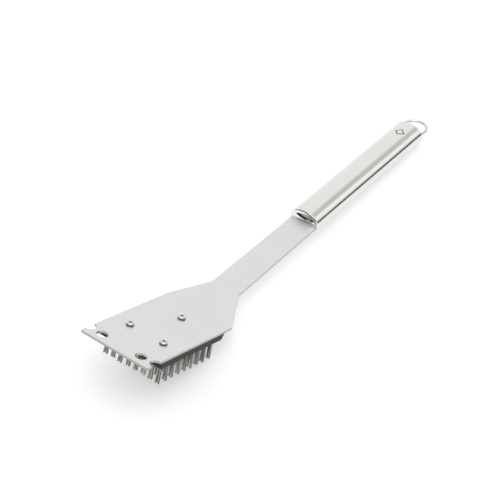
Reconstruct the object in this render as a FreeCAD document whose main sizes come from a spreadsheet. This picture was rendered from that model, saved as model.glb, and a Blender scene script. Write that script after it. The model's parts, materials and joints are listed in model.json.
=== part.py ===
import FreeCAD, Part
import math
import os
import Sketcher

# Grill cleaning brush: a bent stainless sheet blade that carries a tufted block and ends in a hollow
# oval handle with a wire hanging loop.  Millimetres.
#
# Three frames are used.  Head frame: x across, y back from the front edge, z = 0 on top of the sheet.
# Handle frame: y along the handle from the front end of its tube, z up through the oval section.
# Row frame (the finished part): it lies on its rear bristle row and the rear end of the handle,
# with z = 0 on that surface and the origin under the middle of the whole length.

SIZES = [
    # the sheet blade
    ("head_width", 70.0, "width of the flat head"),
    ("head_length", 113.0, "front edge to bend line"),
    ("sheet_thickness", 2.0, "steel sheet"),
    ("bend_angle", 18.6, "rise of the neck above the head plane, degrees"),
    ("bend_radius", 4.0, "inside radius of the bend"),
    ("front_corner_radius", 1.2, "front corners of the head"),
    ("shoulder_length", 35.6, "bend line to the narrow neck"),
    ("neck_width_front", 28.8, "neck width behind the shoulders"),
    ("neck_width_rear", 27.4, "neck width where it enters the handle"),
    ("neck_length", 152.8, "bend line to the handle tube"),
    ("tang_width", 20.0, "narrower end of the blade inside the handle"),
    ("tang_length", 62.0, "narrower end of the blade inside the handle"),
    ("neck_fillet", 12.0, "inside radius between shoulder and neck"),
    ("notch_radius", 5.6, "half-round scraping notches"),
    ("notch_back", 11.2, "front edge to notch centres"),
    ("hole_radius", 5.1, "round scraping holes"),
    ("hole_side", 20.3, "centreline to hole centres"),
    ("hole_back", 10.0, "front edge to hole centres"),
    # the screws
    ("screw_side", 17.8, "centreline to the two front screws"),
    ("screw_front_back", 41.4, "front edge to the two front screws"),
    ("screw_rear_back", 87.8, "front edge to the rear screw"),
    ("screw_head_radius", 3.6, "pan head"),
    ("screw_head_height", 2.3, "pan head"),
    ("screw_head_round", 1.5, "rounding of the pan head"),
    ("screw_shank_radius", 1.65, "shank"),
    ("screw_shank_length", 7.0, "shank below the head"),
    ("screw_hole_radius", 1.9, "clearance hole in the sheet"),
    ("screw_pilot_radius", 1.7, "pilot hole in the block"),
    ("recess_reach", 1.7, "centre of the head to the end of a recess arm"),
    ("recess_half", 0.42, "half width of a recess arm"),
    ("recess_depth", 1.2, "cross recess"),
    # the block and its tufts
    ("block_width", 69.4, "tufted block"),
    ("block_front", 20.0, "front edge of the head to the block"),
    ("block_back_top", 104.0, "front edge of the head to the top back edge of the block"),
    ("block_back_bottom", 100.4, "front edge of the head to the bottom back edge of the block"),
    ("block_thickness", 6.4, "tufted block"),
    ("block_edge_radius", 0.6, "bottom edges of the block"),
    ("tuft_columns", 8, "tufts across"),
    ("tuft_rows", 9, "tufts along"),
    ("tuft_pitch_across", 7.9, "tuft spacing across"),
    ("tuft_pitch_along", 8.45, "tuft spacing along"),
    ("tuft_first_back", 29.2, "front edge of the head to the first row"),
    ("tuft_reach", 19.8, "bottom of the block to the tips"),
    ("tuft_half_width", 1.55, "half width of a folded tuft"),
    ("tuft_thickness", 2.0, "tuft, along the head"),
    ("tuft_gap_half", 0.35, "half the gap between the legs of a tuft"),
    ("tuft_fold", 1.2, "height of the fold that joins the legs"),
    ("tuft_hole_radius", 1.9, "blind hole of a tuft"),
    ("tuft_hole_depth", 4.6, "blind hole of a tuft"),
    ("tuft_seat_gap", 0.2, "fold to the bottom of the blind hole"),
    ("anchor_thickness", 0.6, "staple anchor"),
    ("anchor_width", 3.6, "staple anchor"),
    ("anchor_height", 1.4, "staple anchor"),
    ("anchor_drop", 1.5, "bottom of the blind hole to the anchor"),
    # the handle
    ("handle_half_width", 15.75, "oval tube"),
    ("handle_half_height", 11.2, "oval tube"),
    ("tube_wall", 1.0, "oval tube"),
    ("tube_length", 176.6, "oval tube without its caps"),
    ("axis_rise", 1.6, "middle of the neck's sheet to the handle axis"),
    ("dome_bulge", 4.4, "end caps beyond the tube"),
    ("rim_bulge", 2.2, "rounded rim of a cap beyond the tube"),
    ("rim_width", 1.8, "rounded rim of a cap, outside its crown"),
    ("crown_depth", 11.5, "half length of the ellipsoid that a crown is the end of"),
    ("crown_spread", 1.3, "that ellipsoid's section over the inside of the rim"),
    ("cap_wall", 1.2, "end caps"),
    ("skirt_length", 6.0, "part of a cap inside the tube"),
    ("neck_slot_end", 0.3, "how far the slot for the neck runs into the skirt"),
    ("fit_gap", 0.05, "cap and plates to the inside of the tube, and tang to its slots"),
    ("bulkhead_thickness", 2.0, "plates welded across the tube"),
    ("bulkhead_front_back", 14.0, "front end of the tube to the first bulkhead"),
    ("bulkhead_rear_back", 50.0, "front end of the tube to the second bulkhead"),
    # the hanging loop
    ("wire_radius", 1.5, "loop wire"),
    ("loop_radius", 11.7, "centreline of the loop"),
    ("loop_leg_outside", 10.8, "rear end of the tube to the centre of the loop's arc"),
    ("loop_leg_inside", 12.0, "rear end of the tube to the ends of the wire"),
    ("loop_plate_inside", 9.0, "rear end of the tube to the plate that holds the legs"),
]


def make_sheet(doc):
    sheet = doc.addObject("Spreadsheet::Sheet", "sizes")
    for row, (alias, value, note) in enumerate(SIZES, start=1):
        sheet.set("A%d" % row, note)
        sheet.set("B%d" % row, str(value))
        sheet.setAlias("B%d" % row, alias)
    doc.recompute()
    return sheet


def bind(item, **expressions):
    """Bind properties of a document object to expressions over the sheet."""
    for name, expression in expressions.items():
        item.setExpression(name.replace("__", "."), expression)


def origin_feature(body, role):
    return next(item for item in body.Origin.OriginFeatures if item.Role == role)


def new_sketch(body, name, role, offset=None):
    """A sketch on one of the body's own origin planes, moved by an optional offset."""
    sketch = body.newObject("Sketcher::SketchObject", name)
    sketch.AttachmentSupport = [(origin_feature(body, role), "")]
    sketch.MapMode = "FlatFace"
    if offset is not None:
        sketch.AttachmentOffset = offset
    return sketch


def place_point(sketch, geometry, point, across, along):
    """Fix a sketch point at two expressions, measured from the sketch's origin."""
    for kind, expression in (("DistanceX", across), ("DistanceY", along)):
        index = sketch.addConstraint(Sketcher.Constraint(kind, -1, 1, geometry, point, 1.0))
        sketch.setExpression("Constraints[%d]" % index, expression)


def add_outline(sketch, corners):
    """A closed outline of straight lines through corners given as pairs of expressions."""
    count = len(corners)
    first = sketch.GeometryCount
    for index in range(count):
        ends = [
            FreeCAD.Vector(math.cos(turn), math.sin(turn), 0)
            for turn in (math.tau * index / count, math.tau * (index + 1) / count)
        ]
        sketch.addGeometry(Part.LineSegment(ends[0], ends[1]), False)
    for index in range(count):
        following = first + (index + 1) % count
        sketch.addConstraint(Sketcher.Constraint("Coincident", first + index, 2, following, 1))
    for index, (across, along) in enumerate(corners):
        place_point(sketch, first + index, 1, across, along)


def add_circle(sketch, across, along, radius):
    circle = Part.Circle(FreeCAD.Vector(1, 1, 0), FreeCAD.Vector(0, 0, 1), 1)
    geometry = sketch.addGeometry(circle, False)
    place_point(sketch, geometry, 3, across, along)
    index = sketch.addConstraint(Sketcher.Constraint("Radius", geometry, 1.0))
    sketch.setExpression("Constraints[%d]" % index, radius)


def add_pad(body, name, sketch, length, side="Symmetric"):
    pad = body.newObject("PartDesign::Pad", name)
    pad.Profile = sketch
    pad.SideType = side
    bind(pad, Length=length)
    body.Tip = pad
    body.Document.recompute()
    return pad


def add_pocket(body, name, sketch, depth=None, upward=False):
    """Cut a sketch through everything, or to a depth on one side; check that it removes material."""
    before = body.Shape.Volume
    pocket = body.newObject("PartDesign::Pocket", name)
    pocket.Profile = sketch
    if depth is None:
        pocket.Type = "ThroughAll"
        pocket.SideType = "Symmetric"
    else:
        bind(pocket, Length=depth)
        pocket.Reversed = upward
    body.Tip = pocket
    body.Document.recompute()
    if body.Shape.Volume >= before - 1e-6:
        raise RuntimeError("%s of %s cuts nothing" % (name, body.Label))
    return pocket


def add_pattern(body, name, feature, steps):
    """Repeat a feature along one or two origin axes; steps are (axis role, pitch, count)."""
    pattern = body.newObject("PartDesign::LinearPattern", name)
    pattern.Originals = [feature]
    for suffix, (role, pitch, count) in zip(("", "2"), steps):
        setattr(pattern, "Direction" + suffix, (origin_feature(body, role), [""]))
        pattern.setExpression("Length" + suffix, "%s * (%s - 1)" % (pitch, count))
        pattern.setExpression("Occurrences" + suffix, count)
    body.Tip = pattern
    body.Document.recompute()
    return pattern


def add_fillet(body, name, radius, wanted):
    """Round the edges of the body's present tip whose middle point passes the test."""
    base = body.Tip
    chosen = [
        "Edge%d" % number
        for number, edge in enumerate(base.Shape.Edges, start=1)
        if wanted(edge, edge.valueAt((edge.FirstParameter + edge.LastParameter) / 2))
    ]
    if not chosen:
        raise RuntimeError("%s of %s finds no edge" % (name, body.Label))
    fillet = body.newObject("PartDesign::Fillet", name)
    fillet.Base = (base, chosen)
    bind(fillet, Radius=radius)
    body.Tip = fillet
    body.Document.recompute()
    return fillet


def direction_is(edge, axis):
    """True for a straight edge along an axis."""
    if not isinstance(edge.Curve, Part.Line):
        return False
    return abs(abs(edge.Curve.Direction.dot(axis)) - 1) < 1e-6


def make_blade(doc, size):
    """Sheet blade: flat head, bend, tapering shoulders, neck and tang in one piece."""
    body = doc.addObject("PartDesign::Body", "blade")
    run = "(sizes.neck_length + sizes.tang_length)"
    angle = "sizes.bend_angle * 1deg"
    thick = "sizes.sheet_thickness"
    profile = new_sketch(body, "blade_profile", "YZ_Plane")
    add_outline(profile, [
        ("0", "0"),
        ("sizes.head_length", "0"),
        ("sizes.head_length + %s * cos(%s)" % (run, angle), "%s * sin(%s)" % (run, angle)),
        ("sizes.head_length + %s * cos(%s) + %s * sin(%s)" % (run, angle, thick, angle),
         "%s * sin(%s) - %s * cos(%s)" % (run, angle, thick, angle)),
        ("sizes.head_length + %s * tan(%s / 2)" % (thick, angle), "-%s" % thick),
        ("0", "-%s" % thick),
    ])
    add_pad(body, "blade_sheet", profile, "sizes.head_width")

    across = FreeCAD.Vector(1, 0, 0)
    bend_line = FreeCAD.Vector(0, size["head_length"], 0)
    add_fillet(body, "bend_inside", "sizes.bend_radius", lambda edge, middle:
               direction_is(edge, across) and (middle - bend_line).Length < 0.1)
    add_fillet(body, "bend_outside", "sizes.bend_radius + sizes.sheet_thickness", lambda edge, middle:
               direction_is(edge, across) and abs(middle.y - size["head_length"]) < 1
               and abs(middle.z + size["sheet_thickness"]) < 0.01)

    half_head = "sizes.head_width / 2"
    cuts = new_sketch(body, "head_cuts", "XY_Plane")
    for side in ("-", ""):
        add_circle(cuts, side + half_head, "sizes.notch_back", "sizes.notch_radius")
        add_circle(cuts, side + "sizes.hole_side", "sizes.hole_back", "sizes.hole_radius")
        add_circle(cuts, side + "sizes.screw_side", "sizes.screw_front_back", "sizes.screw_hole_radius")
    add_circle(cuts, "0", "sizes.screw_rear_back", "sizes.screw_hole_radius")
    add_pocket(body, "head_cut", cuts)

    neck_plane = FreeCAD.Placement(bend_line, FreeCAD.Rotation(across, size["bend_angle"]))
    waste = new_sketch(body, "neck_cuts", "XY_Plane", neck_plane)
    beyond = run + " + 5"
    for side in ("-", ""):
        add_outline(waste, [
            (side + half_head, "0"),
            (side + "(sizes.head_width / 2 + 5)", "0"),
            (side + "(sizes.head_width / 2 + 5)", beyond),
            (side + "sizes.tang_width / 2", beyond),
            (side + "sizes.tang_width / 2", "sizes.neck_length"),
            (side + "sizes.neck_width_rear / 2", "sizes.neck_length"),
            (side + "sizes.neck_width_front / 2", "sizes.shoulder_length"),
        ])
    add_pocket(body, "neck_cut", waste)

    upright = neck_plane.Rotation.multVec(FreeCAD.Vector(0, 0, 1))
    shoulder_end = neck_plane.multVec(
        FreeCAD.Vector(0, size["shoulder_length"], -size["sheet_thickness"] / 2))
    add_fillet(body, "neck_fillets", "sizes.neck_fillet", lambda edge, middle:
               direction_is(edge, upright) and abs(middle.y - shoulder_end.y) < 0.5)
    add_fillet(body, "front_corners", "sizes.front_corner_radius", lambda edge, middle:
               direction_is(edge, FreeCAD.Vector(0, 0, 1)) and middle.y < 0.01)
    return body


def make_block(doc, size):
    """Plastic block under the head, with blind tuft holes below and screw pilots above."""
    body = doc.addObject("PartDesign::Body", "brush_block")
    top = "-sizes.sheet_thickness"
    bottom = "-(sizes.sheet_thickness + sizes.block_thickness)"
    profile = new_sketch(body, "block_profile", "YZ_Plane")
    add_outline(profile, [
        ("sizes.block_front", top),
        ("sizes.block_back_top", top),
        ("sizes.block_back_bottom", bottom),
        ("sizes.block_front", bottom),
    ])
    add_pad(body, "block_solid", profile, "sizes.block_width")
    floor = -(size["sheet_thickness"] + size["block_thickness"])
    add_fillet(body, "block_edges", "sizes.block_edge_radius", lambda edge, middle:
               abs(middle.z - floor) < 0.01)

    below = FreeCAD.Placement(FreeCAD.Vector(0, 0, floor), FreeCAD.Rotation())
    tuft = new_sketch(body, "tuft_hole_sketch", "XY_Plane", below)
    add_circle(tuft, "-sizes.tuft_pitch_across * (sizes.tuft_columns - 1) / 2",
               "sizes.tuft_first_back", "sizes.tuft_hole_radius")
    hole = add_pocket(body, "tuft_hole", tuft, "sizes.tuft_hole_depth", upward=True)
    add_pattern(body, "tuft_holes", hole, [
        ("X_Axis", "sizes.tuft_pitch_across", "sizes.tuft_columns"),
        ("Y_Axis", "sizes.tuft_pitch_along", "sizes.tuft_rows"),
    ])

    above = FreeCAD.Placement(FreeCAD.Vector(0, 0, -size["sheet_thickness"]), FreeCAD.Rotation())
    pilots = new_sketch(body, "pilot_sketch", "XY_Plane", above)
    for side in ("-", ""):
        add_circle(pilots, side + "sizes.screw_side", "sizes.screw_front_back",
                   "sizes.screw_pilot_radius")
    add_circle(pilots, "0", "sizes.screw_rear_back", "sizes.screw_pilot_radius")
    add_pocket(body, "pilot_holes", pilots, "sizes.screw_shank_length - sizes.sheet_thickness + 0.3")
    return body


def make_tuft_row(doc, name):
    """One row of folded flat-wire tufts; z = 0 at the bottom of the block."""
    body = doc.addObject("PartDesign::Body", name)
    top = "(sizes.tuft_hole_depth - sizes.tuft_seat_gap)"
    inner = "(sizes.tuft_hole_depth - sizes.tuft_seat_gap - sizes.tuft_fold)"
    half = "sizes.tuft_half_width"
    gap = "sizes.tuft_gap_half"
    tip = "-sizes.tuft_reach"
    first = "-sizes.tuft_pitch_across * (sizes.tuft_columns - 1) / 2"
    sketch = new_sketch(body, name + "_fold", "XZ_Plane")
    corners = [
        ("-", half, top), ("+", half, top), ("+", half, tip), ("+", gap, tip),
        ("+", gap, inner), ("-", gap, inner), ("-", gap, tip), ("-", half, tip),
    ]
    add_outline(sketch, [("%s %s %s" % (first, sign, reach), level) for sign, reach, level in corners])
    pad = add_pad(body, name + "_tuft", sketch, "sizes.tuft_thickness")
    add_pattern(body, name + "_repeat", pad,
                [("X_Axis", "sizes.tuft_pitch_across", "sizes.tuft_columns")])
    return body


def make_anchors(doc):
    """Staple anchors that pin each tuft's fold in its hole; z = 0 at the bottom of the block."""
    body = doc.addObject("PartDesign::Body", "tuft_anchors")
    first = "-sizes.tuft_pitch_across * (sizes.tuft_columns - 1) / 2"
    top = "(sizes.tuft_hole_depth - sizes.anchor_drop)"
    sketch = new_sketch(body, "anchor_sketch", "XZ_Plane")
    reach = "sizes.anchor_thickness / 2"
    low = top + " - sizes.anchor_height"
    add_outline(sketch, [
        (first + " - " + reach, top), (first + " + " + reach, top),
        (first + " + " + reach, low), (first + " - " + reach, low),
    ])
    pad = add_pad(body, "anchor", sketch, "sizes.anchor_width")
    add_pattern(body, "anchors", pad, [
        ("X_Axis", "sizes.tuft_pitch_across", "sizes.tuft_columns"),
        ("Y_Axis", "sizes.tuft_pitch_along", "sizes.tuft_rows"),
    ])
    return body


def make_screw(doc, name, size):
    """Pan-head screw with a cross recess; z = 0 under its head."""
    body = doc.addObject("PartDesign::Body", name)
    profile = new_sketch(body, name + "_profile", "XZ_Plane")
    add_outline(profile, [
        ("0", "sizes.screw_head_height"),
        ("sizes.screw_head_radius", "sizes.screw_head_height"),
        ("sizes.screw_head_radius", "0"),
        ("sizes.screw_shank_radius", "0"),
        ("sizes.screw_shank_radius", "-sizes.screw_shank_length + sizes.screw_shank_radius"),
        ("0", "-sizes.screw_shank_length"),
    ])
    turned = body.newObject("PartDesign::Revolution", name + "_turned")
    turned.Profile = profile
    turned.ReferenceAxis = (origin_feature(body, "Z_Axis"), [""])
    turned.Angle = 360
    body.Tip = turned
    doc.recompute()
    add_fillet(body, name + "_crown", "sizes.screw_head_round", lambda edge, middle:
               isinstance(edge.Curve, Part.Circle)
               and abs(middle.z - size["screw_head_height"]) < 0.01)
    above = FreeCAD.Placement(FreeCAD.Vector(0, 0, size["screw_head_height"]), FreeCAD.Rotation())
    cross = new_sketch(body, name + "_recess", "XY_Plane", above)
    far = "sizes.recess_reach"
    near = "sizes.recess_half"
    quarter = [(near, far), (near, near), (far, near)]
    corners = [(across, along) for across, along in quarter]
    corners += [(across, "-" + along) for across, along in reversed(quarter)]
    corners += [("-" + across, "-" + along) for across, along in quarter]
    corners += [("-" + across, along) for across, along in reversed(quarter)]
    add_outline(cross, corners)
    add_pocket(body, name + "_cut", cross, "sizes.recess_depth")
    return body


def oval_bar(doc, name, inset, start, length):
    """Solid oval bar along the handle axis, inset all round from the outside of the tube."""
    oval = doc.addObject("Part::Ellipse", name + "_oval")
    bind(oval,
         MajorRadius="sizes.handle_half_width - (%s)" % inset,
         MinorRadius="sizes.handle_half_height - (%s)" % inset,
         Placement__Base__y=start)
    oval.Placement.Rotation = FreeCAD.Rotation(FreeCAD.Vector(1, 0, 0), -90)
    bar = doc.addObject("Part::Extrusion", name)
    bar.Base = oval
    bar.DirMode = "Normal"
    bar.Solid = True
    bind(bar, LengthFwd=length)
    return bar


def half_ellipsoid(doc, name, radii, start, towards):
    """Half ellipsoid that bulges forwards (-1) or backwards (+1) along y."""
    dome = doc.addObject("Part::Ellipsoid", name)
    dome.Angle1 = 0
    along, across, upright = radii
    bind(dome,
         Radius1=along,
         Radius2=across,
         Radius3=upright,
         Placement__Base__y=start)
    dome.Placement.Rotation = FreeCAD.Rotation(FreeCAD.Vector(1, 0, 0), -90 * towards)
    return dome


def rim_dome(doc, name, inset, start, towards):
    """Shallow dome over the whole oval section, which shows as a rounded rim."""
    radii = [
        "%s - (%s)" % (outside, inset)
        for outside in ("sizes.rim_bulge", "sizes.handle_half_width", "sizes.handle_half_height")
    ]
    return half_ellipsoid(doc, name, radii, start, towards)


def crown(doc, name, start, towards):
    """Raised middle of a cap: the end of a larger ellipsoid, trimmed to an oval inside the rim."""
    radii = ["sizes.crown_depth"] + [
        "sizes.crown_spread * (%s - sizes.rim_width)" % outside
        for outside in ("sizes.handle_half_width", "sizes.handle_half_height")
    ]
    centre = "%s + %d * (sizes.dome_bulge - sizes.crown_depth)" % (start, towards)
    ball = half_ellipsoid(doc, name + "_ball", radii, centre, towards)
    front = start if towards > 0 else start + " - sizes.dome_bulge"
    trimmed = doc.addObject("Part::Common", name)
    trimmed.Base = ball
    trimmed.Tool = oval_bar(doc, name + "_trim", "sizes.rim_width", front, "sizes.dome_bulge")
    return trimmed


def slot_box(doc, name, width, start, length):
    """Box round the tang, which lies below the handle axis."""
    box = doc.addObject("Part::Box", name)
    height = "(sizes.sheet_thickness + 2 * sizes.fit_gap)"
    bind(box,
         Length=width,
         Width=length,
         Height=height,
         Placement__Base__x="-(%s) / 2" % width,
         Placement__Base__y=start,
         Placement__Base__z="-sizes.axis_rise - %s / 2" % height)
    return box


def wire_leg(doc, name, side, radius, start, length):
    """Round bar along y at one leg of the hanging loop."""
    leg = doc.addObject("Part::Cylinder", name)
    leg.Placement.Rotation = FreeCAD.Rotation(FreeCAD.Vector(1, 0, 0), -90)
    bind(leg,
         Radius=radius,
         Height=length,
         Placement__Base__x="%s * sizes.loop_radius" % side,
         Placement__Base__y=start)
    return leg


def fuse(doc, name, shapes, refine=True):
    joined = doc.addObject("Part::MultiFuse", name)
    joined.Shapes = shapes
    joined.Refine = refine
    return joined


def cut(doc, name, base, tool):
    result = doc.addObject("Part::Cut", name)
    result.Base = base
    result.Tool = tool
    return result


def make_handle_tube(doc):
    outside = oval_bar(doc, "tube_outside", "0", "0", "sizes.tube_length")
    inside = oval_bar(doc, "tube_inside", "sizes.tube_wall", "-1", "sizes.tube_length + 2")
    return cut(doc, "handle_tube", outside, inside)


IN_TUBE = "sizes.tube_wall + sizes.fit_gap"


def make_cap_shell(doc, name, base, inward, towards):
    """Domed shell with a skirt that plugs into the tube; returns its outside and its hollow."""
    rim = rim_dome(doc, name + "_rim", "0", base, towards)
    middle = crown(doc, name + "_crown", base, towards)
    skirt = oval_bar(doc, name + "_skirt", IN_TUBE, inward, "sizes.skirt_length")
    hollow_dome = rim_dome(doc, name + "_hollow_dome", "sizes.cap_wall", base, towards)
    hollow_skirt = oval_bar(doc, name + "_hollow_skirt", "sizes.tube_wall + sizes.cap_wall",
                            inward + " - 1", "sizes.skirt_length + 2")
    outside = fuse(doc, name + "_outside", [rim, middle, skirt])
    return outside, [hollow_dome, hollow_skirt]


def make_front_cap(doc):
    """Polished domed cap with a slot for the neck, which ends just behind the dome."""
    outside, hollows = make_cap_shell(doc, "front", "0", "0", -1)
    slot = slot_box(doc, "front_slot", "sizes.neck_width_rear + 4 * sizes.fit_gap",
                    "-2 * sizes.dome_bulge", "2 * sizes.dome_bulge + sizes.neck_slot_end")
    return cut(doc, "front_cap", outside, fuse(doc, "front_hollow", hollows + [slot], refine=False))


def make_rear_cap(doc):
    """Polished domed cap with two holes for the legs of the loop."""
    base = "sizes.tube_length"
    outside, hollows = make_cap_shell(doc, "rear", base, base + " - sizes.skirt_length", 1)
    holes = [
        wire_leg(doc, "rear_hole_%d" % index, side, "sizes.wire_radius + sizes.fit_gap",
                 base + " - sizes.skirt_length", "sizes.skirt_length + 2 * sizes.dome_bulge")
        for index, side in enumerate((-1, 1))
    ]
    return cut(doc, "rear_cap", outside, fuse(doc, "rear_hollow", hollows + holes, refine=False))


def make_bulkhead(doc, name, start):
    """Oval plate across the tube with a slot that holds the tang."""
    plate = oval_bar(doc, name + "_plate", IN_TUBE, start, "sizes.bulkhead_thickness")
    slot = slot_box(doc, name + "_slot", "sizes.tang_width + 2 * sizes.fit_gap",
                    start + " - 1", "sizes.bulkhead_thickness + 2")
    return cut(doc, name, plate, slot)


def make_loop_plate(doc):
    """Oval plate across the tube that the legs of the loop are fastened in."""
    start = "sizes.tube_length - sizes.loop_plate_inside"
    plate = oval_bar(doc, "loop_plate_blank", IN_TUBE, start, "sizes.bulkhead_thickness")
    holes = [
        wire_leg(doc, "loop_plate_hole_%d" % index, side, "sizes.wire_radius + sizes.fit_gap",
                 start + " - 1", "sizes.bulkhead_thickness + 2")
        for index, side in enumerate((-1, 1))
    ]
    return cut(doc, "loop_plate", plate, fuse(doc, "loop_plate_holes", holes))


def make_hanging_loop(doc):
    """Wire loop: a half ring and two straight legs that enter the rear cap."""
    ring = doc.addObject("Part::Torus", "loop_ring")
    ring.Angle3 = 180
    bind(ring,
         Radius1="sizes.loop_radius",
         Radius2="sizes.wire_radius",
         Placement__Base__y="sizes.tube_length + sizes.loop_leg_outside")
    legs = [
        wire_leg(doc, "loop_leg_%d" % index, side, "sizes.wire_radius",
                 "sizes.tube_length - sizes.loop_leg_inside",
                 "sizes.loop_leg_inside + sizes.loop_leg_outside")
        for index, side in enumerate((-1, 1))
    ]
    return fuse(doc, "hanging_loop", [ring] + legs)


def handle_in_head(size):
    """The handle frame seen from the head frame: along the neck, raised to the handle axis."""
    turn = FreeCAD.Rotation(FreeCAD.Vector(1, 0, 0), size["bend_angle"])
    to_axis = FreeCAD.Vector(0, size["neck_length"], size["axis_rise"] - size["sheet_thickness"] / 2)
    return FreeCAD.Placement(FreeCAD.Vector(0, size["head_length"], 0) + turn.multVec(to_axis), turn)


def head_at_rest(size):
    """The head frame in the row frame: on the rear bristle row and the rear end of the tube."""
    last_row = size["tuft_first_back"] + size["tuft_pitch_along"] * (size["tuft_rows"] - 1)
    bristle = FreeCAD.Vector(0, last_row + size["tuft_thickness"] / 2, -(
        size["sheet_thickness"] + size["block_thickness"] + size["tuft_reach"]))
    handle = handle_in_head(size)
    heel = handle.multVec(FreeCAD.Vector(0, size["tube_length"], -size["handle_half_height"]))
    tilt = math.degrees(math.atan2(heel.z - bristle.z, heel.y - bristle.y))
    turn = FreeCAD.Rotation(FreeCAD.Vector(1, 0, 0), -tilt)
    front = turn.multVec(FreeCAD.Vector(0, 0, -size["sheet_thickness"])).y
    loop_end = FreeCAD.Vector(0, size["tube_length"] + size["loop_leg_outside"]
                              + size["loop_radius"], 0)
    back = turn.multVec(handle.multVec(loop_end)).y + size["wire_radius"]
    return FreeCAD.Placement(
        FreeCAD.Vector(0, -(front + back) / 2, -turn.multVec(bristle).z), turn)


def make_parts(doc, size):
    """Build every sub-part and put it at its place in the row frame."""
    head = head_at_rest(size)
    handle = head.multiply(handle_in_head(size))
    block_bottom = -(size["sheet_thickness"] + size["block_thickness"])

    def on_head(across, back, up):
        return head.multiply(FreeCAD.Placement(FreeCAD.Vector(across, back, up), FreeCAD.Rotation()))

    placed = [(make_blade(doc, size), head), (make_block(doc, size), head)]
    for index in range(int(size["tuft_rows"])):
        back = size["tuft_first_back"] + index * size["tuft_pitch_along"]
        placed.append((make_tuft_row(doc, "bristle_row_%d" % (index + 1)),
                       on_head(0, back, block_bottom)))
    placed.append((make_anchors(doc), on_head(0, size["tuft_first_back"], block_bottom)))
    for name, across, back in (
        ("screw_front_left", -size["screw_side"], size["screw_front_back"]),
        ("screw_front_right", size["screw_side"], size["screw_front_back"]),
        ("screw_rear", 0, size["screw_rear_back"]),
    ):
        placed.append((make_screw(doc, name, size), on_head(across, back, 0)))
    for item in (
        make_handle_tube(doc),
        make_front_cap(doc),
        make_rear_cap(doc),
        make_bulkhead(doc, "tang_bulkhead_front", "sizes.bulkhead_front_back"),
        make_bulkhead(doc, "tang_bulkhead_rear", "sizes.bulkhead_rear_back"),
        make_loop_plate(doc),
        make_hanging_loop(doc),
    ):
        placed.append((item, handle))
    for item, placement in placed:
        item.Label = item.Name
        item.Placement = placement
    return [item for item, _ in placed]


def check(doc, parts):
    """Stop on any failed feature or unsound shape."""
    for item in doc.Objects:
        if {"Invalid", "Error"} & set(item.State):
            raise RuntimeError("%s failed: %s" % (item.Name, item.State))
    for item in parts:
        if item.Shape.isNull() or not item.Shape.isValid() or not item.Shape.Solids:
            raise RuntimeError("%s has no sound shape" % item.Label)


def main():
    doc = FreeCAD.newDocument("grill_cleaning_brush")
    sheet = make_sheet(doc)
    size = {alias: float(sheet.get(alias)) for alias, _, _ in SIZES}
    parts = make_parts(doc, size)
    doc.recompute()
    check(doc, parts)
    os.makedirs("parts", exist_ok=True)
    for item in parts:
        item.Shape.exportStep("parts/%s.step" % item.Label)
        print("%-22s %3d solids %10.1f mm3" % (item.Label, len(item.Shape.Solids), item.Shape.Volume))


main()
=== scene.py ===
import json
import math
import random

import bmesh
import bpy
import numpy as np
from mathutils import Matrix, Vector


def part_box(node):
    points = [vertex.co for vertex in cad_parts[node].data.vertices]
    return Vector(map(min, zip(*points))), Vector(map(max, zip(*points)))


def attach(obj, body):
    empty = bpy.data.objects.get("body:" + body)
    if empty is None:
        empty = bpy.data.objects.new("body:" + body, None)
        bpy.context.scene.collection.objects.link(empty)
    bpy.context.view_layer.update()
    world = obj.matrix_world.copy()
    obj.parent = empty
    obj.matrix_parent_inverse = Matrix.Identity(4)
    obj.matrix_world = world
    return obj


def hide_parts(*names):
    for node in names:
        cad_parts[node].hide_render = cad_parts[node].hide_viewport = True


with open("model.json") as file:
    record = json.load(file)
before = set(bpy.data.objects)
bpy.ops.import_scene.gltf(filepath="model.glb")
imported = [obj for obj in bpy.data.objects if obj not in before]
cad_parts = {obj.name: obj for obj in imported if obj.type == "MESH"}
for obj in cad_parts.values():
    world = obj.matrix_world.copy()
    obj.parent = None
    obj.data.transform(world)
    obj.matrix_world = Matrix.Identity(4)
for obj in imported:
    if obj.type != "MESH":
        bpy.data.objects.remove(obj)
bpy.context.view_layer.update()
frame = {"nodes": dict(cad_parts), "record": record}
NODES = frame["nodes"]
MOUNTS = {mount["name"]: mount for mount in frame["record"]["mounts"]}
MM = 0.001

# Directions, read from the frame: up out of the flat head, across the brush, backwards along the head,
# backwards along the handle and up out of the handle.
HEAD_UP = Vector(MOUNTS["scrape_hole_left"]["axis"]).normalized()
ACROSS = Vector((1, 0, 0))
HEAD_BACK = HEAD_UP.cross(ACROSS).normalized()
HANDLE_BACK = Vector(MOUNTS["hanging_loop"]["axis"]).normalized()
HANDLE_UP = HANDLE_BACK.cross(-ACROSS).normalized()


# ---------------------------------------------------------------- shader nodes

def feed(tree, socket, value):
    """Set a socket to a number or a colour, or link another node's output to it."""
    if isinstance(value, float):
        socket.default_value = value
    elif isinstance(value, tuple):
        socket.default_value = (*value, 1)
    else:
        tree.links.new(value, socket)


def tree_math(tree, operation, first, second=0.0):
    """One sum on two values, each a number or an output."""
    node = tree.nodes.new("ShaderNodeMath")
    node.operation = operation
    feed(tree, node.inputs[0], first)
    feed(tree, node.inputs[1], second)
    return node.outputs[0]


def cosine_to(tree, direction, axis):
    """The cosine of the angle between a direction and a fixed axis."""
    dot = tree.nodes.new("ShaderNodeVectorMath")
    dot.operation = "DOT_PRODUCT"
    dot.inputs[1].default_value = Vector(axis).normalized()
    tree.links.new(direction, dot.inputs[0])
    return dot.outputs["Value"]


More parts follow.
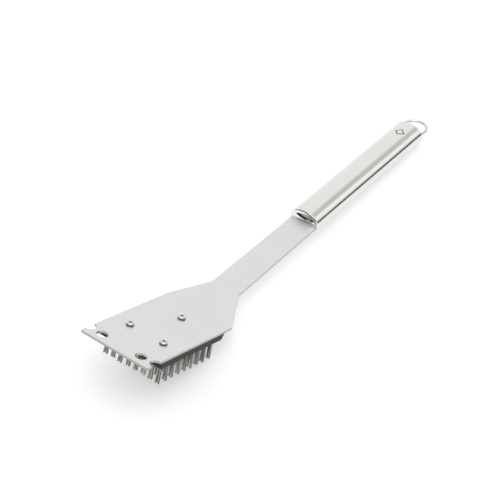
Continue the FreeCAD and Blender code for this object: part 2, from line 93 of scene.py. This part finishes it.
def remap(tree, value, low, high, start=0.3, end=0.7, curve="LINEAR"):
    """Low up to start, high from end on, and a ramp in between. Start and end suit a noise's middle."""
    node = tree.nodes.new("ShaderNodeMapRange")
    node.interpolation_type = curve
    node.inputs["From Min"].default_value = start
    node.inputs["From Max"].default_value = end
    node.inputs["To Min"].default_value = low
    node.inputs["To Max"].default_value = high
    tree.links.new(value, node.inputs["Value"])
    return node.outputs["Result"]


def toward(tree, direction, axis, start, end):
    """From 0 to 1 as a direction turns toward an axis, between two cosines of their angle."""
    return remap(tree, cosine_to(tree, direction, axis), 0.0, 1.0, start, end, "SMOOTHSTEP")


def mix_colors(tree, share, first, second, blend="MIX"):
    """From the first colour to the second, by a share from 0 to 1."""
    node = tree.nodes.new("ShaderNodeMix")
    node.data_type = "RGBA"
    node.blend_type = blend
    feed(tree, node.inputs["Factor"], share)
    feed(tree, node.inputs["A"], first)
    feed(tree, node.inputs["B"], second)
    return node.outputs["Result"]


def stretched_noise(tree, stretch, frequency, detail=3.0, seed=0.0):
    """Noise over object coordinates, stretched by a different scale along each axis."""
    coordinates = tree.nodes.new("ShaderNodeTexCoord")
    mapping = tree.nodes.new("ShaderNodeMapping")
    mapping.inputs["Scale"].default_value = stretch
    mapping.inputs["Location"].default_value = (seed, seed, seed)
    noise = tree.nodes.new("ShaderNodeTexNoise")
    noise.inputs["Scale"].default_value = frequency
    noise.inputs["Detail"].default_value = detail
    tree.links.new(coordinates.outputs["Object"], mapping.inputs["Vector"])
    tree.links.new(mapping.outputs[0], noise.inputs["Vector"])
    return noise.outputs["Fac"]


def add_bump(tree, shader, height, strength, distance):
    """Tilt the shader's normal by a height."""
    bump = tree.nodes.new("ShaderNodeBump")
    bump.inputs["Strength"].default_value = strength
    bump.inputs["Distance"].default_value = distance
    tree.links.new(height, bump.inputs["Height"])
    tree.links.new(bump.outputs["Normal"], shader.inputs["Normal"])


def shader_of(material):
    return material.node_tree.nodes["Principled BSDF"]


def new_material(name, color, metallic, roughness):
    """A material that is the same all over."""
    material = bpy.data.materials.new(name)
    material.use_nodes = True
    shader = shader_of(material)
    shader.inputs["Base Color"].default_value = (*color, 1)
    shader.inputs["Metallic"].default_value = metallic
    shader.inputs["Roughness"].default_value = roughness
    return material


# ---------------------------------------------------------------- camera

CAMERA_AZIMUTH = math.radians(37.5)
CAMERA_ELEVATION = math.radians(42.0)
CAMERA_DISTANCE = 1.285
CAMERA_AIM = Vector((-0.0266, -0.0183, 0.0))
LENS = 101.4
SENSOR_WIDTH = 36
CLIP_START = 0.05
CLIP_END = 50


def make_camera():
    """A camera in front of the brush, to its right and above it, turned toward the aim."""
    data = bpy.data.cameras.new("camera")
    data.lens = LENS
    data.sensor_width = SENSOR_WIDTH
    data.clip_start = CLIP_START
    data.clip_end = CLIP_END
    camera = bpy.data.objects.new("camera", data)
    bpy.context.scene.collection.objects.link(camera)
    back = Vector((
        math.sin(CAMERA_AZIMUTH) * math.cos(CAMERA_ELEVATION),
        -math.cos(CAMERA_AZIMUTH) * math.cos(CAMERA_ELEVATION),
        math.sin(CAMERA_ELEVATION),
    ))
    camera.location = CAMERA_AIM + back * CAMERA_DISTANCE
    camera.rotation_euler = back.to_track_quat("Z", "Y").to_euler()
    bpy.context.scene.camera = camera


# ---------------------------------------------------------------- floor and light

FLOOR_SIZE = 8
FLOOR_COLOR = (0.60, 0.60, 0.60)
FLOOR_GLOW = 0.47

OVERHEAD_PLACE = (0.35, -0.15, 1.7)
OVERHEAD_SIZE = 1.0
OVERHEAD_POWER = 6

# Where the white surroundings aren't plain white. The numbers after each axis are the cosines of the
# angle to it at which a part begins to show and shows in full.
UP = (0, 0, 1)
DARK_PARTS = [
    # close to the horizon, all round except behind the brush
    {"fades_above": (UP, 0.17, 0.36), "side": ((0.6, -0.8, 0), -0.60, -0.25), "depth": 0.99},
    # in front of the head, reaching higher
    {"fades_above": (UP, 0.25, 0.85), "side": ((0.1, -1.0, 0), 0.10, 0.60), "depth": 0.82},
]
BRIGHT_PATCH = ((0.56, 0.70, 0.44), 0.93, 0.99)
BRIGHT_PATCH_GAIN = 0.12
DIM_PATCH = ((0.20, 0.71, 0.68), 0.965, 0.998)
DIM_PATCH_DEPTH = 0.42


def make_floor():
    """A pale sheet that glows a little, so that the shadows on it stay faint."""
    bpy.ops.mesh.primitive_plane_add(size=FLOOR_SIZE, location=(0, 0, 0))
    floor = bpy.context.object
    floor.name = "floor"
    material = new_material("floor_paper", FLOOR_COLOR, 0.0, 1.0)
    shader = shader_of(material)
    shader.inputs["Specular IOR Level"].default_value = 0.0
    shader.inputs["Emission Color"].default_value = (1, 1, 1, 1)
    shader.inputs["Emission Strength"].default_value = FLOOR_GLOW
    floor.data.materials.append(material)


def dim(tree, strength, share, depth):
    """Take a part of a strength away: depth of it where share is 1, and none where share is 0."""
    kept = tree_math(tree, "SUBTRACT", 1.0, tree_math(tree, "MULTIPLY", share, depth))
    return tree_math(tree, "MULTIPLY", strength, kept)


def make_world():
    """White surroundings, with darker and brighter parts that only light the brush and are reflected
    in it: where the camera looks straight at them they are white."""
    world = bpy.data.worlds.new("studio")
    bpy.context.scene.world = world
    world.use_nodes = True
    tree = world.node_tree
    tree.nodes.clear()
    direction = tree.nodes.new("ShaderNodeTexCoord").outputs["Generated"]

    bright = toward(tree, direction, *BRIGHT_PATCH)
    strength = tree_math(tree, "ADD", 1.0, tree_math(tree, "MULTIPLY", bright, BRIGHT_PATCH_GAIN))
    for part in DARK_PARTS:
        low_down = tree_math(tree, "SUBTRACT", 1.0, toward(tree, direction, *part["fades_above"]))
        share = tree_math(tree, "MULTIPLY", low_down, toward(tree, direction, *part["side"]))
        strength = dim(tree, strength, share, part["depth"])
    strength = dim(tree, strength, toward(tree, direction, *DIM_PATCH), DIM_PATCH_DEPTH)
    seen_directly = tree.nodes.new("ShaderNodeLightPath").outputs["Is Camera Ray"]
    strength = tree_math(tree, "MAXIMUM", strength, seen_directly)

    background = tree.nodes.new("ShaderNodeBackground")
    background.inputs["Color"].default_value = (1, 1, 1, 1)
    tree.links.new(strength, background.inputs["Strength"])
    output = tree.nodes.new("ShaderNodeOutputWorld")
    tree.links.new(background.outputs[0], output.inputs["Surface"])


def make_overhead_light():
    """A large soft light above the brush, turned toward the origin."""
    data = bpy.data.lights.new("overhead", "AREA")
    data.shape = "SQUARE"
    data.size = OVERHEAD_SIZE
    data.energy = OVERHEAD_POWER
    light = bpy.data.objects.new("overhead", data)
    bpy.context.scene.collection.objects.link(light)
    light.location = OVERHEAD_PLACE
    light.rotation_euler = Vector(OVERHEAD_PLACE).to_track_quat("Z", "Y").to_euler()


def make_studio():
    make_floor()
    make_world()
    make_overhead_light()
    view = bpy.context.scene.view_settings
    view.view_transform = "Standard"
    view.look = "None"
    view.exposure = 0.0


# ---------------------------------------------------------------- materials

SHEET_COLOR = (0.745, 0.735, 0.722)
# painted shade on the sheet's edges
EDGE_SHADE_COLOR = (0.44, 0.435, 0.425)
HANDLE_COLOR = (0.81, 0.80, 0.78)
ETCHED_COLOR = (0.16, 0.155, 0.15)
BRISTLE_COLOR = (0.40, 0.39, 0.37)
INNER_COLOR = (0.6, 0.6, 0.6)
POLISHED_COLOR = (0.80, 0.795, 0.785)
WIRE_COLOR = (0.70, 0.695, 0.685)
SCREW_COLOR = (0.66, 0.655, 0.645)
# painted shade: the dark colour laid into hollows such as the screw recess
PAINTED_SHADE_COLOR = (0.03, 0.028, 0.026)
PLASTIC_COLOR = (0.022, 0.020, 0.018)
PLASTIC_DARKEST = (0.018, 0.016, 0.014)
PLASTIC_PALEST = (0.026, 0.024, 0.021)

EVEN = (1.0, 1.0, 1.0)
CLOUD_TINT = (0.965, 0.965, 0.965)
WHITE = (1.0, 1.0, 1.0)
GRAIN_DEPTH = 0.02 * MM
PLASTIC_GRAIN_DEPTH = 0.05 * MM
# how far the painted shade in hollows reaches, and how many samples find it
PAINTED_SHADE_DEPTH = 2.0 * MM
PAINTED_SHADE_SAMPLES = 8

# The etched mark: how far behind the front of the tube its middle is, and half its width and length.
MARK_PLACE = 159 * MM
MARK_HALF = 5.2 * MM

BEVEL_WIDTH = 0.15 * MM
BEVEL_SEGMENTS = 2
BEVEL_ANGLE = math.radians(35)


def grained_steel(name, color, roughness, grain, frequency, contrast, bump):
    """Steel with a directional grain that varies its colour, roughness and normal, and faint clouds."""
    material = new_material(name, color, 1.0, roughness)
    tree = material.node_tree
    shader = shader_of(material)
    fine = stretched_noise(tree, grain, frequency)
    broad = stretched_noise(tree, EVEN, 18.0, detail=2.0, seed=3.0)
    darker = tuple(part * (1 - contrast) for part in color)
    tone = mix_colors(tree, remap(tree, fine, 0.0, 1.0), darker, color)
    clouds = mix_colors(tree, remap(tree, broad, 0.0, 1.0), CLOUD_TINT, WHITE)
    tree.links.new(mix_colors(tree, 1.0, tone, clouds, "MULTIPLY"), shader.inputs["Base Color"])
    tree.links.new(remap(tree, fine, roughness * 0.82, roughness * 1.2), shader.inputs["Roughness"])
    add_bump(tree, shader, fine, bump, GRAIN_DEPTH)
    return material


def polished_steel(name, color, roughness):
    """Bright steel with faint smudges in its polish."""
    material = new_material(name, color, 1.0, roughness)
    tree = material.node_tree
    smudge = stretched_noise(tree, EVEN, 160.0, detail=4.0)
    tree.links.new(remap(tree, smudge, roughness * 0.7, roughness * 1.6),
                   shader_of(material).inputs["Roughness"])
    return material


def moulded_plastic(name):
    """Black plastic with a fine even texture."""
    material = new_material(name, PLASTIC_COLOR, 0.0, 0.5)
    tree = material.node_tree
    shader = shader_of(material)
    shader.inputs["Specular IOR Level"].default_value = 0.35
    texture = stretched_noise(tree, EVEN, 1400.0, detail=2.0)
    tone = mix_colors(tree, remap(tree, texture, 0.0, 1.0), PLASTIC_DARKEST, PLASTIC_PALEST)
    tree.links.new(tone, shader.inputs["Base Color"])
    tree.links.new(remap(tree, texture, 0.42, 0.6), shader.inputs["Roughness"])
    add_bump(tree, shader, texture, 0.35, PLASTIC_GRAIN_DEPTH)
    return material


def paint_shade_in_hollows(material, color):
    """Paint shade where the surface is closed in, such as the recess of a screw: the base colour turns
    dark there to stand in for the shade.
    """
    tree = material.node_tree
    closed_in = tree.nodes.new("ShaderNodeAmbientOcclusion")
    closed_in.inputs["Distance"].default_value = PAINTED_SHADE_DEPTH
    closed_in.samples = PAINTED_SHADE_SAMPLES
    openness = remap(tree, closed_in.outputs["AO"], 0.0, 1.0, 0.55, 1.0)
    tree.links.new(mix_colors(tree, openness, PAINTED_SHADE_COLOR, color),
                   shader_of(material).inputs["Base Color"])


def repaint(material, share, color):
    """Lay a colour over what a material has, by a share from 0 to 1."""
    tree = material.node_tree
    base = shader_of(material).inputs["Base Color"]
    beneath = base.links[0].from_socket
    tree.links.new(mix_colors(tree, share, beneath, color), base)


def etch_diamond(material, centre):
    """A plain diamond etched on top of the handle: dark along its rim, bare steel in its middle."""
    tree = material.node_tree
    place = tree.nodes.new("ShaderNodeSeparateXYZ")
    coordinates = tree.nodes.new("ShaderNodeTexCoord")
    tree.links.new(coordinates.outputs["Object"], place.inputs[0])
    offset = tree_math(tree, "SUBTRACT", place.outputs["Y"], float(centre.y))
    across = tree_math(tree, "DIVIDE", tree_math(tree, "ABSOLUTE", place.outputs["X"]), MARK_HALF)
    along = tree_math(tree, "DIVIDE", tree_math(tree, "ABSOLUTE", offset), MARK_HALF)
    reach = tree_math(tree, "ADD", across, along)
    outside_middle = remap(tree, reach, 0.0, 1.0, 0.66, 0.72)
    inside_rim = remap(tree, reach, 1.0, 0.0, 1.0, 1.06)
    on_top = tree_math(tree, "GREATER_THAN", place.outputs["Z"], float(centre.z))
    outline = tree_math(tree, "MULTIPLY", outside_middle, inside_rim)
    repaint(material, tree_math(tree, "MULTIPLY", outline, on_top), ETCHED_COLOR)


def paint_edge_shade(material, face_direction):
    """Paint shade on the sheared edges of the sheet, so that they are darker than its faces."""
    tree = material.node_tree
    normal = tree.nodes.new("ShaderNodeNewGeometry").outputs["Normal"]
    flatness = tree_math(tree, "ABSOLUTE", cosine_to(tree, normal, face_direction))
    repaint(material, remap(tree, flatness, 1.0, 0.0, 0.35, 0.85), EDGE_SHADE_COLOR)


def make_materials():
    """Every material by the name of its slot."""
    made = {
        "sheet_steel": grained_steel(
            "sheet_steel", SHEET_COLOR, roughness=0.30,
            grain=(1.0, 40.0, 40.0), frequency=80.0, contrast=0.012, bump=0.03),
        "handle_steel": grained_steel(
            "handle_steel", HANDLE_COLOR, roughness=0.19,
            grain=(60.0, 1.0, 60.0), frequency=60.0, contrast=0.06, bump=0.10),
        "bristle_steel": grained_steel(
            "bristle_steel", BRISTLE_COLOR, roughness=0.30,
            grain=(8.0, 8.0, 1.0), frequency=300.0, contrast=0.25, bump=0.10),
        "inner_steel": grained_steel(
            "inner_steel", INNER_COLOR, roughness=0.4,
            grain=(30.0, 1.0, 30.0), frequency=60.0, contrast=0.08, bump=0.10),
        "polished_steel": polished_steel("polished_steel", POLISHED_COLOR, roughness=0.07),
        "wire_steel": polished_steel("wire_steel", WIRE_COLOR, roughness=0.10),
        "screw_steel": polished_steel("screw_steel", SCREW_COLOR, roughness=0.14),
        "block_plastic": moulded_plastic("block_plastic"),
    }
    # painted shade in the screw recess
    paint_shade_in_hollows(made["screw_steel"], SCREW_COLOR)
    # painted shade along the sheet's edges
    paint_edge_shade(made["sheet_steel"], HEAD_UP + HANDLE_UP)
    low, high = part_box("handle_tube")
    mark = Vector((0, low.y + MARK_PLACE * HANDLE_BACK.y, (low.z + high.z) / 2))
    etch_diamond(made["handle_steel"], mark)
    return made


def dress_nodes(materials):
    """Give every CAD node its material and soften its hard edges."""
    for entry in frame["record"]["subparts"]:
        item = NODES[entry["node"]]
        item.data.materials.clear()
        item.data.materials.append(materials[entry["material_slot"]])
        for face in item.data.polygons:
            face.use_smooth = True
        bevel = item.modifiers.new("soft_edges", "BEVEL")
        bevel.width = BEVEL_WIDTH
        bevel.segments = BEVEL_SEGMENTS
        bevel.limit_method = "ANGLE"
        bevel.angle_limit = BEVEL_ANGLE
        bevel.harden_normals = True


# ---------------------------------------------------------------- bristles

ROW_COUNT = 9
TUFT_GAP = 2 * MM

# A wire's section, the lengths it is cut into, and how much of it stands straight in the block.
WIRE_WIDTH = 0.66 * MM
WIRE_THICKNESS = 0.32 * MM
WIRE_STEPS = 7
HELD = 4.4 * MM
BEND_POWER = 1.5
RIPPLE_TURN = 5.0
FLOOR_CLEARANCE = 0.2 * MM
RIBBON_CORNERS = ((-1, -1), (1, -1), (1, 1), (-1, 1))

# A tuft has two legs, and each leg is a bundle of wires, in columns across and ranks backwards.
COLUMNS = 2
RANKS = 4
FIRST_COLUMN = 0.56 * MM
COLUMN_PITCH = 0.62 * MM
RANK_PITCH = 0.54 * MM

# How unevenly the wires stand. A splay and a shortening lie between bounds, and the rest are spreads.
DICE_SEED = 7
LEAST_SPLAY = 0.15 * MM
MOST_SPLAY = 0.85 * MM
MOST_SHORTENING = 0.55 * MM
TUFT_LEAN = 0.45 * MM
WIRE_LEAN_ACROSS = 0.13 * MM
WIRE_LEAN_BACK = 0.16 * MM
WIRE_RIPPLE = 0.05 * MM
WIRE_TURN = 0.15


def tufts_of(node):
    """Each tuft of a row: its middle across and along the head, and its highest and lowest points."""
    points = np.array([vertex.co for vertex in NODES[node].data.vertices])
    across = points @ np.array(ACROSS)
    back = points @ np.array(HEAD_BACK)
    up = points @ np.array(HEAD_UP)
    order = np.argsort(across)
    breaks = np.nonzero(np.diff(across[order]) > TUFT_GAP)[0] + 1
    return [{
        "across": float((across[group].min() + across[group].max()) / 2),
        "back": float((back[group].min() + back[group].max()) / 2),
        "top": float(up[group].max()),
        "tip": float(up[group].min()),
    } for group in np.split(order, breaks)]


def add_ribbon(mesh, path, flat_side):
    """A flat wire along a path: a ring of four corners at each point, closed at both ends."""
    rings = []
    for index, point in enumerate(path):
        ahead = path[min(index + 1, len(path) - 1)]
        behind = path[max(index - 1, 0)]
        along = (ahead - behind).normalized()
        wide = (flat_side - along * flat_side.dot(along)).normalized()
        half_width = wide * (WIRE_WIDTH / 2)
        half_thickness = along.cross(wide).normalized() * (WIRE_THICKNESS / 2)
        rings.append([mesh.verts.new(point + half_width * first + half_thickness * second)
                      for first, second in RIBBON_CORNERS])
    for lower, upper in zip(rings, rings[1:]):
        for side in range(4):
            following = (side + 1) % 4
            mesh.faces.new((lower[side], lower[following], upper[following], upper[side]))
    mesh.faces.new(tuple(reversed(rings[0])))
    mesh.faces.new(tuple(rings[-1]))


def wire_path(foot, lean, height, ripple):
    """Points down a wire: straight where the block holds it, then bending away to its tip."""
    path = []
    for step in range(WIRE_STEPS + 1):
        depth = height * step / WIRE_STEPS
        free = max(0.0, (depth - HELD) / (height - HELD))
        point = (foot - HEAD_UP * depth + lean * free ** BEND_POWER
                 + ACROSS * (ripple * math.sin(free * RIPPLE_TURN)))
        point.z = max(point.z, FLOOR_CLEARANCE)
        path.append(point)
    return path


def add_leg(mesh, tuft, leg, tuft_lean, dice):
    """One of a tuft's two bundles, splayed outwards, with each wire standing its own way."""
    splay = leg * dice.uniform(LEAST_SPLAY, MOST_SPLAY)
    for rank in range(RANKS):
        for column in range(COLUMNS):
            foot = (ACROSS * (tuft["across"] + leg * (FIRST_COLUMN + COLUMN_PITCH * column))
                    + HEAD_BACK * (tuft["back"] + RANK_PITCH * (rank - (RANKS - 1) / 2))
                    + HEAD_UP * tuft["top"])
            lean = (ACROSS * (splay + dice.gauss(0, WIRE_LEAN_ACROSS))
                    + HEAD_BACK * (tuft_lean + dice.gauss(0, WIRE_LEAN_BACK)))
            height = tuft["top"] - tuft["tip"] - dice.uniform(0.0, MOST_SHORTENING)
            path = wire_path(foot, lean, height, dice.gauss(0, WIRE_RIPPLE))
            turn = dice.gauss(0, WIRE_TURN)
            add_ribbon(mesh, path, ACROSS * math.cos(turn) + HEAD_BACK * math.sin(turn))


def make_row(node, material, dice):
    """Flat wires that stand in for one row of CAD tufts."""
    mesh = bmesh.new()
    for tuft in tufts_of(node):
        tuft_lean = dice.gauss(0, TUFT_LEAN)
        for leg in (-1, 1):
            add_leg(mesh, tuft, leg, tuft_lean, dice)
    data = bpy.data.meshes.new(node + "_wires")
    mesh.normal_update()
    mesh.to_mesh(data)
    mesh.free()
    item = bpy.data.objects.new(node + "_wires", data)
    bpy.context.scene.collection.objects.link(item)
    data.materials.append(material)
    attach(item, "root")
    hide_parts(node)


def make_bristles(material):
    dice = random.Random(DICE_SEED)
    for number in range(1, ROW_COUNT + 1):
        make_row("bristle_row_%d" % number, material, dice)


# ---------------------------------------------------------------- the scene

make_camera()
make_studio()
MATERIALS = make_materials()
dress_nodes(MATERIALS)
make_bristles(MATERIALS["bristle_steel"])

bpy.context.view_layer.update()
